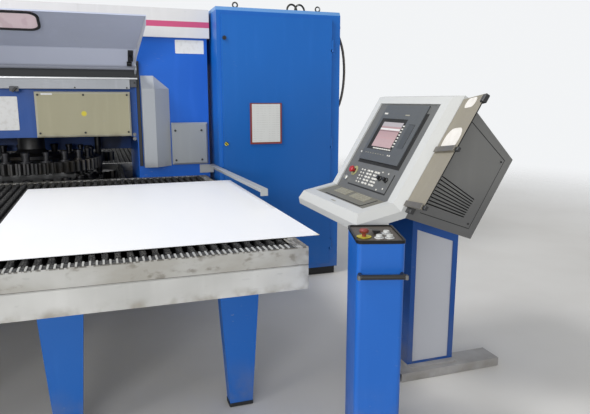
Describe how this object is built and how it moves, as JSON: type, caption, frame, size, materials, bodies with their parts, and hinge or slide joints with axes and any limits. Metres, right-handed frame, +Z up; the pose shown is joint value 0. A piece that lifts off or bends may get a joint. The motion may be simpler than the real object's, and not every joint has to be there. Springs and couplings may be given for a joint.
{
  "type": "turret punch press",
  "caption": "Sheet metal punching machine with a closed frame, indexing twin turrets, brush tables, clamp carriage, raised hood, control cabinet, console and button pedestal.",
  "frame": {"origin": "floor level, at the centre of the punching frame's footprint", "axes": "+X along the punching frame towards the control cabinet, +Y from the loading side to the rear, +Z up"},
  "size_m": [5.279, 6.7692, 2.395],
  "materials": {
    "frame_blue": "satin enamel, lightly dusty",
    "cladding_white": "matt enamel with a magenta stripe",
    "ledge_grey": "matt enamel",
    "cover_beige": "textured enamel",
    "guard_grey": "satin enamel",
    "cover_grey": "textured enamel",
    "bronze_bush": "oiled",
    "motor_cast": "painted casting",
    "cylinder_steel": "honed, oiled",
    "turret_steel": "machined, oiled",
    "tool_steel": "ground tool steel",
    "hard_chrome": "hard chrome",
    "hood_grey": "satin enamel",
    "black_rubber": "matt",
    "hood_glazing": "hazy",
    "table_white": "worn enamel",
    "leg_blue": "satin enamel",
    "brush_black": "bristles",
    "sheet_steel": "mill finish",
    "beam_white": "satin enamel",
    "carriage_grey": "satin enamel",
    "jaw_steel": "ground",
    "cabinet_blue": "textured enamel",
    "lock_black": "matt",
    "lock_yellow": "gloss",
    "holder_brown": "satin",
    "panel_zinc": "switchgear on a plated board",
    "fitting_dark": "cast and plated",
    "conduit_brown": "ribbed",
    "tank_grey": "satin enamel",
    "console_white": "satin enamel",
    "console_grey": "textured enamel",
    "fascia_grey": "satin film",
    "bezel_grey": "satin",
    "stop_red": "gloss",
    "key_steel": "nickel",
    "knob_black": "satin",
    "board_beige": "satin enamel",
    "stand_blue": "satin enamel",
    "base_grey": "worn enamel",
    "pedestal_blue": "satin enamel",
    "top_steel": "brushed",
    "button_light": "gloss"
  },
  "bodies": {
    "frame": {"side_columns": "frame_blue", "upper_beam": "frame_blue", "lower_beam": "frame_blue", "corner_gussets": "frame_blue", "top_cladding": "cladding_white", "hood_carrier": "ledge_grey", "terminal_box_cover": "cover_beige", "throat_guard": "guard_grey", "column_cover": "cover_grey", "turret_bearings": "bronze_bush", "turret_motor": "motor_cast", "ram_cylinder": "cylinder_steel", "table_frames": "table_white", "table_legs": "leg_blue", "leg_feet": "black_rubber", "brush_beds": "brush_black", "side_guard_rail": "table_white", "sheet_blank": "sheet_steel", "cabinet_shell": "cabinet_blue", "mounting_plate": "panel_zinc", "cabinet_fittings": "fitting_dark", "conduit": "conduit_brown", "hydraulic_unit": "tank_grey", "console_frame": "console_white", "console_housing": "console_grey", "console_fascia": "fascia_grey", "screen_unit": "bezel_grey", "document_board": "board_beige", "console_stand": "stand_blue", "console_base": "base_grey", "pedestal_body": "pedestal_blue", "pedestal_top": "top_steel", "pedestal_handle": "knob_black"},
    "upper_turret": {"upper_turret": "turret_steel", "punch_tools": "tool_steel"},
    "lower_turret": {"lower_turret": "turret_steel", "die_set": "tool_steel"},
    "drive_shaft": {"drive_shaft": "turret_steel"},
    "ram": {"ram": "hard_chrome"},
    "cross_beam": {"cross_beam": "beam_white"},
    "carriage": {"clamp_carriage": "carriage_grey", "clamp_fingers": "jaw_steel"},
    "jaw_front": {"clamp_jaw_front": "jaw_steel"},
    "jaw_rear": {"clamp_jaw_rear": "jaw_steel"},
    "hood": {"hood_shell": "hood_grey", "hood_gasket": "black_rubber", "hood_window": "hood_glazing"},
    "cabinet_door": {"cabinet_door": "cabinet_blue", "document_holder": "holder_brown"},
    "upper_lock": {"upper_lock": "lock_black"},
    "lower_lock": {"lower_lock": "lock_yellow"},
    "console_estop": {"console_estop": "stop_red"},
    "key_switch": {"key_switch": "key_steel"},
    "selector_left": {"selector_left": "knob_black"},
    "selector_right": {"selector_right": "knob_black"},
    "pedestal_estop": {"pedestal_estop": "stop_red"},
    "start_button": {"start_button": "button_light"},
    "stop_button": {"stop_button": "button_light"},
    "jog_button": {"jog_button": "button_light"},
    "clamp_button": {"clamp_button": "knob_black"}
  },
  "joints": [
    {"name": "hood_hinge", "type": "hinge", "parent": "frame", "child": "hood", "pos_m": [0.49, -0.7, 1.843], "axis": [1, 0, 0], "range_deg": [0, 112]},
    {"name": "turret_spin", "type": "hinge", "parent": "frame", "child": "upper_turret", "pos_m": [0.49, 0, 1.045], "axis": [0, 0, 1], "continuous": true},
    {"name": "lower_turret_spin", "type": "hinge", "parent": "frame", "child": "lower_turret", "pos_m": [0.49, 0, 0.86], "axis": [0, 0, 1], "continuous": true},
    {"name": "drive_spin", "type": "hinge", "parent": "frame", "child": "drive_shaft", "pos_m": [1.04398, 0.4328, 1], "axis": [0, 0, 1], "continuous": true},
    {"name": "ram_stroke", "type": "slide", "parent": "frame", "child": "ram", "axis": [0, 0, 1], "range_m": [-0.038, 0]},
    {"name": "cross_slide", "type": "slide", "parent": "frame", "child": "cross_beam", "axis": [1, 0, 0], "range_m": [-0.45, 0.4]},
    {"name": "carriage_slide", "type": "slide", "parent": "cross_beam", "child": "carriage", "axis": [0, 1, 0], "range_m": [-0.79, 4.59]},
    {"name": "jaw_front_pivot", "type": "hinge", "parent": "carriage", "child": "jaw_front", "pos_m": [-0.6445, -2.2, 0.995], "axis": [0, -1, 0], "range_deg": [-2, 12]},
    {"name": "jaw_rear_pivot", "type": "hinge", "parent": "carriage", "child": "jaw_rear", "pos_m": [-0.6445, -1.6, 0.995], "axis": [0, -1, 0], "range_deg": [-2, 12]},
    {"name": "cabinet_door_hinge", "type": "hinge", "parent": "frame", "child": "cabinet_door", "pos_m": [3.022, -0.843, 1.19], "axis": [0, 0, 1], "range_deg": [0, 110]},
    {"name": "upper_lock_turn", "type": "hinge", "parent": "cabinet_door", "child": "upper_lock", "pos_m": [2.067, -0.855, 2.087], "axis": [0, 1, 0], "range_deg": [0, 90]},
    {"name": "lower_lock_turn", "type": "hinge", "parent": "cabinet_door", "child": "lower_lock", "pos_m": [2.067, -0.855, 1.233], "axis": [0, 1, 0], "range_deg": [0, 90]},
    {"name": "console_estop_press", "type": "slide", "parent": "frame", "child": "console_estop", "axis": [0.8588, 0, -0.5123], "range_m": [0, 0.005]},
    {"name": "key_turn", "type": "hinge", "parent": "frame", "child": "key_switch", "pos_m": [2.44707, -2.465, 1.13985], "axis": [-0.8588, 0, 0.5123], "range_deg": [0, 90]},
    {"name": "selector_left_turn", "type": "hinge", "parent": "frame", "child": "selector_left", "pos_m": [2.47115, -2.842, 1.18022], "axis": [-0.8588, 0, 0.5123], "range_deg": [-60, 60]},
    {"name": "selector_right_turn", "type": "hinge", "parent": "frame", "child": "selector_right", "pos_m": [2.47064, -2.909, 1.17936], "axis": [-0.8588, 0, 0.5123], "range_deg": [-60, 60]},
    {"name": "pedestal_estop_press", "type": "slide", "parent": "frame", "child": "pedestal_estop", "axis": [0, 0, -1], "range_m": [0, 0.006]},
    {"name": "start_button_press", "type": "slide", "parent": "frame", "child": "start_button", "axis": [0, 0, -1], "range_m": [0, 0.004], "stiffness_N_per_m": 300, "springref_m": -0.004},
    {"name": "stop_button_press", "type": "slide", "parent": "frame", "child": "stop_button", "axis": [0, 0, -1], "range_m": [0, 0.004], "stiffness_N_per_m": 300, "springref_m": -0.004},
    {"name": "jog_button_press", "type": "slide", "parent": "frame", "child": "jog_button", "axis": [0, 0, -1], "range_m": [0, 0.004], "stiffness_N_per_m": 300, "springref_m": -0.004},
    {"name": "clamp_button_press", "type": "slide", "parent": "frame", "child": "clamp_button", "axis": [0, 0, -1], "range_m": [0, 0.004], "stiffness_N_per_m": 300, "springref_m": -0.004}
  ],
  "couplings": [
    {"joint": "lower_turret_spin", "follows": "turret_spin", "ratio": 1},
    {"joint": "drive_spin", "follows": "turret_spin", "ratio": -4.2857}
  ]
}
